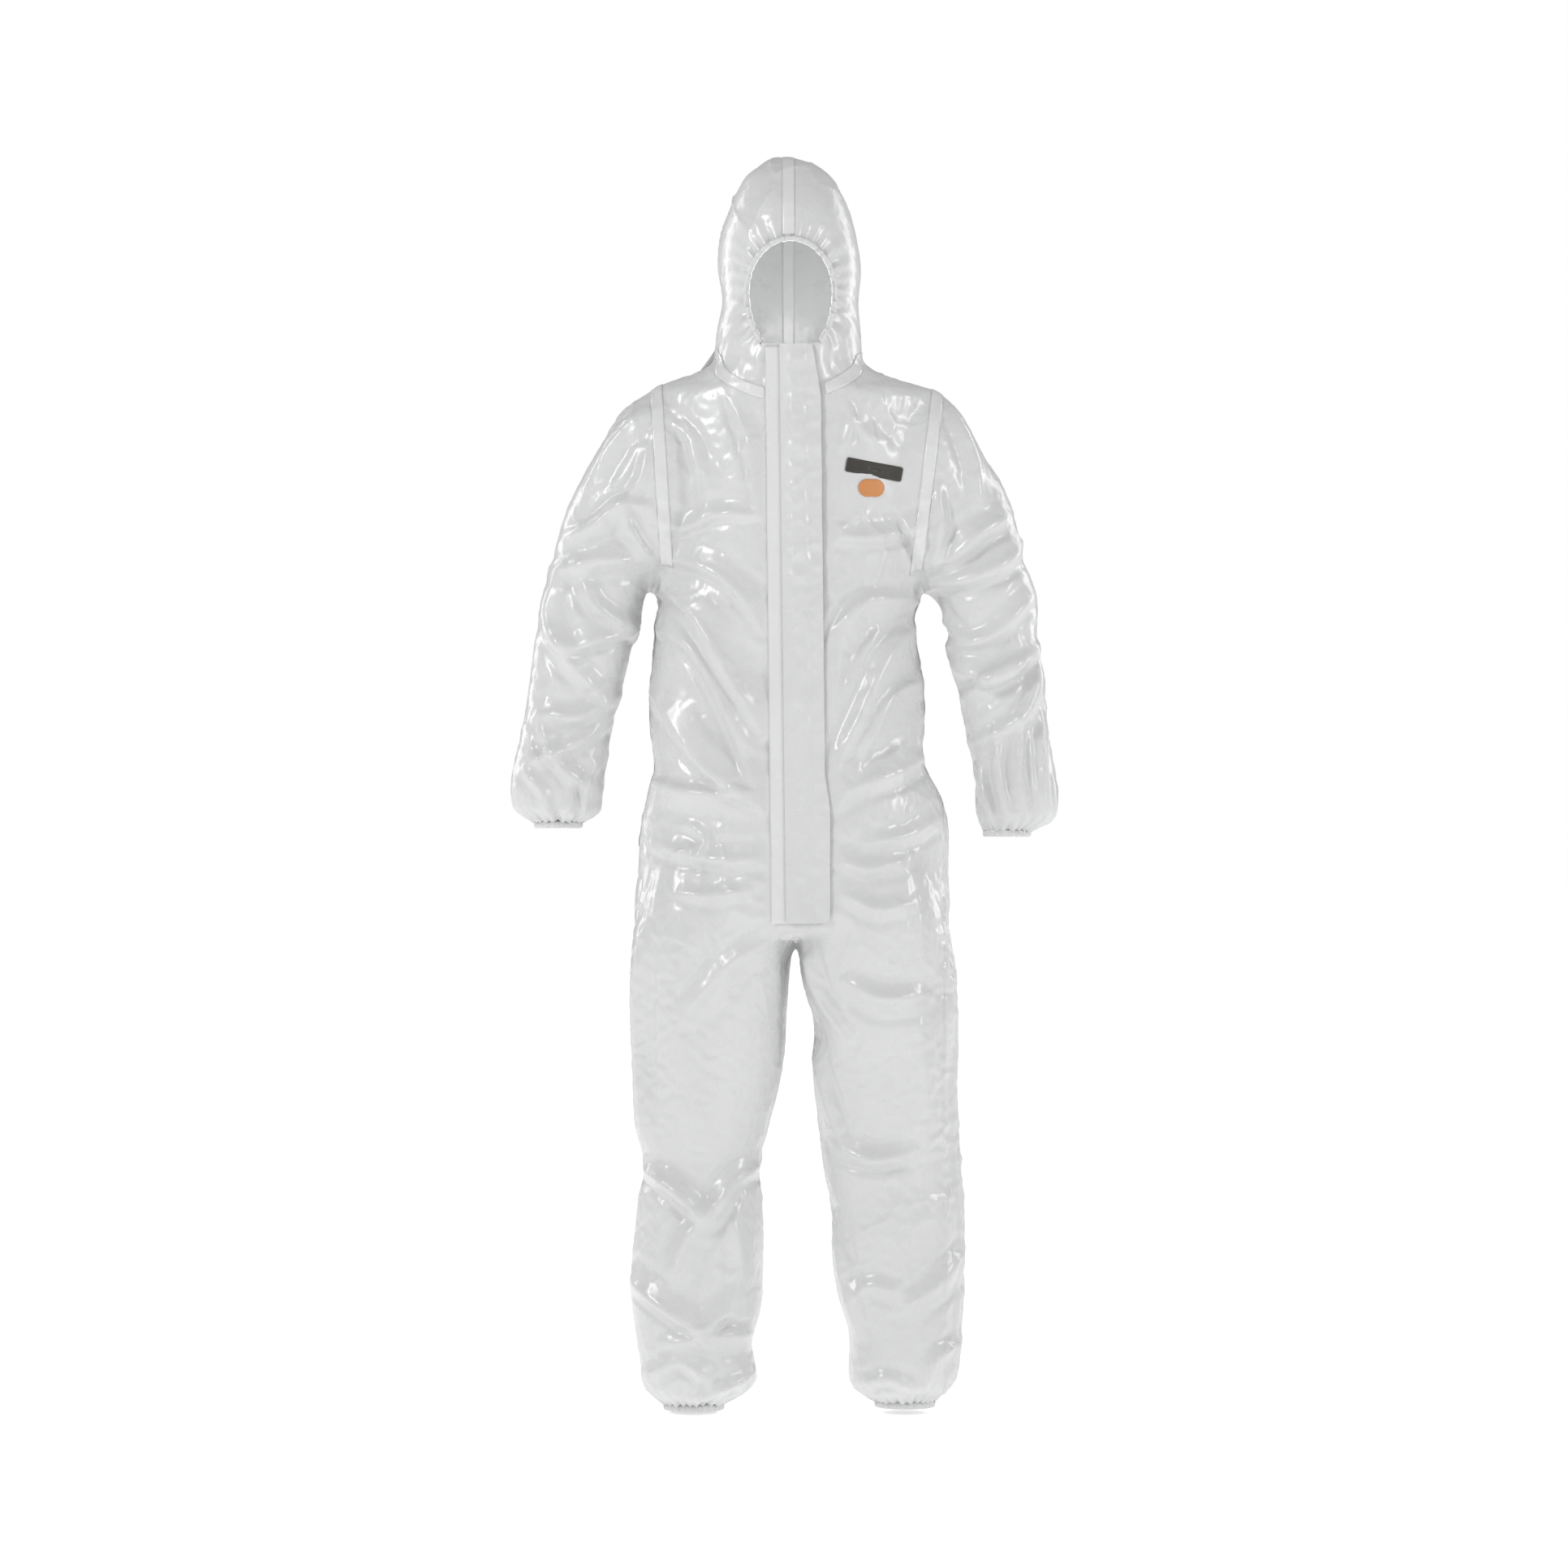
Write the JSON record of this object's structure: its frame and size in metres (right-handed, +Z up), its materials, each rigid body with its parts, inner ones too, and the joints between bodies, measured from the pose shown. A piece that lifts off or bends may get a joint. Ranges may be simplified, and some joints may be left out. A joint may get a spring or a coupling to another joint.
{
  "type": "chemical protective suit",
  "caption": "Hooded white chemical protective coverall with a zip under a storm flap, taped seams, and elastic at the face, cuffs, waist and ankles.",
  "frame": {"origin": "middle of the shoulder line, where a wearer's shoulders or a hanger carry the suit", "axes": "+Z up along the body, the wearer faces -Y, the wearer's left is +X"},
  "size_m": [0.7713, 0.2716, 1.777],
  "materials": {
    "fabric_white": "film-faced nonwoven laminate, semi-gloss, finely crinkled",
    "seam_tape": "heat-sealed film tape, a little glossier than the fabric",
    "elastic": "white knitted elastic",
    "zip_tape": "woven polyester tape",
    "zip_teeth": "white nylon coil",
    "zip_metal": "white-enamelled zinc, satin",
    "badge_dark": "dark printed patch",
    "badge_orange": "orange printed patch",
    "adhesive": "double-sided tape",
    "release_liner": "siliconised paper liner",
    "label": "white woven ribbon"
  },
  "bodies": {
    "torso": {"front_right_panel": "fabric_white", "front_left_panel": "fabric_white", "back_panel": "fabric_white", "hood_neck_right": "fabric_white", "hood_neck_left": "fabric_white", "neck_seam_tape": "seam_tape", "right_armhole_tape": "seam_tape", "left_armhole_tape": "seam_tape", "right_side_seam_tape": "seam_tape", "left_side_seam_tape": "seam_tape", "waist_elastic": "elastic", "waist_tunnel": "fabric_white", "size_label": "label", "badge_bar": "badge_dark", "badge_spot": "badge_orange", "zip_tape_right": "zip_tape", "zip_tape_left": "zip_tape", "zip_teeth_right": "zip_teeth", "zip_teeth_left": "zip_teeth", "zip_bottom_stop": "zip_metal", "zip_top_stop": "zip_metal", "zip_guard": "fabric_white", "flap_seam_tape": "seam_tape"},
    "hood": {"hood_right_panel": "fabric_white", "hood_left_panel": "fabric_white", "hood_centre_tape": "seam_tape", "face_binding": "fabric_white", "face_elastic": "elastic"},
    "storm_flap": {"outer_storm_flap": "fabric_white", "flap_adhesive_tape": "adhesive", "flap_release_liner": "release_liner"},
    "slider": {"zip_slider": "zip_metal"},
    "puller": {"zip_puller": "zip_metal"},
    "right_sleeve": {"right_upper_sleeve": "fabric_white"},
    "right_forearm": {"right_lower_sleeve": "fabric_white", "right_cuff_hem": "fabric_white", "right_cuff_elastic": "elastic"},
    "right_leg": {"right_thigh": "fabric_white"},
    "right_lower_leg": {"right_shin": "fabric_white", "right_ankle_hem": "fabric_white", "right_ankle_elastic": "elastic"},
    "left_sleeve": {"left_upper_sleeve": "fabric_white"},
    "left_forearm": {"left_lower_sleeve": "fabric_white", "left_cuff_hem": "fabric_white", "left_cuff_elastic": "elastic"},
    "left_leg": {"left_thigh": "fabric_white"},
    "left_lower_leg": {"left_shin": "fabric_white", "left_ankle_hem": "fabric_white", "left_ankle_elastic": "elastic"}
  },
  "joints": [
    {"name": "hood_tip", "type": "hinge", "parent": "torso", "child": "hood", "pos_m": [0, 0.105, 0.059], "axis": [-1, 0, 0], "range_deg": [0, 60]},
    {"name": "right_shoulder", "type": "hinge", "parent": "torso", "child": "right_sleeve", "pos_m": [-0.2014, 0, 0.007], "axis": [0, 1, 0], "range_deg": [0, 65]},
    {"name": "left_shoulder", "type": "hinge", "parent": "torso", "child": "left_sleeve", "pos_m": [0.219, 0, 0.007], "axis": [0, -1, 0], "range_deg": [0, 65]},
    {"name": "right_elbow", "type": "hinge", "parent": "right_sleeve", "child": "right_forearm", "pos_m": [-0.29, -0.078, -0.343], "axis": [-1, 0, 0], "range_deg": [0, 90], "stiffness_Nm_per_rad": 0.08, "springref_deg": -11.46},
    {"name": "left_elbow", "type": "hinge", "parent": "left_sleeve", "child": "left_forearm", "pos_m": [0.285, -0.078, -0.343], "axis": [-1, 0, 0], "range_deg": [0, 90], "stiffness_Nm_per_rad": 0.08, "springref_deg": -11.46},
    {"name": "right_hip", "type": "hinge", "parent": "torso", "child": "right_leg", "pos_m": [-0.11, -0.13, -0.753], "axis": [-1, 0, 0], "range_deg": [0, 70], "stiffness_Nm_per_rad": 0.5, "springref_deg": -14.32},
    {"name": "left_hip", "type": "hinge", "parent": "torso", "child": "left_leg", "pos_m": [0.12, -0.13, -0.753], "axis": [-1, 0, 0], "range_deg": [0, 70], "stiffness_Nm_per_rad": 0.5, "springref_deg": -14.32},
    {"name": "right_knee", "type": "hinge", "parent": "right_leg", "child": "right_lower_leg", "pos_m": [-0.127, 0.095, -1.088], "axis": [1, 0, 0], "range_deg": [0, 90], "stiffness_Nm_per_rad": 0.15, "springref_deg": -14.32},
    {"name": "left_knee", "type": "hinge", "parent": "left_leg", "child": "left_lower_leg", "pos_m": [0.142, 0.095, -1.088], "axis": [1, 0, 0], "range_deg": [0, 90], "stiffness_Nm_per_rad": 0.15, "springref_deg": -14.32},
    {"name": "storm_flap_hinge", "type": "hinge", "parent": "torso", "child": "storm_flap", "pos_m": [-0.0125, -0.12081, -0.34335], "axis": [0.0112, -0.025, -0.9996], "range_deg": [0, 150]},
    {"name": "zip_slide", "type": "slide", "parent": "torso", "child": "slider", "axis": [0.0112, -0.025, -0.9996], "range_m": [0, 0.76]},
    {"name": "puller_swing", "type": "hinge", "parent": "slider", "child": "puller", "pos_m": [0.00712, -0.11186, 0.04679], "axis": [0, 0.9997, -0.025], "range_deg": [-15, 15]}
  ]
}
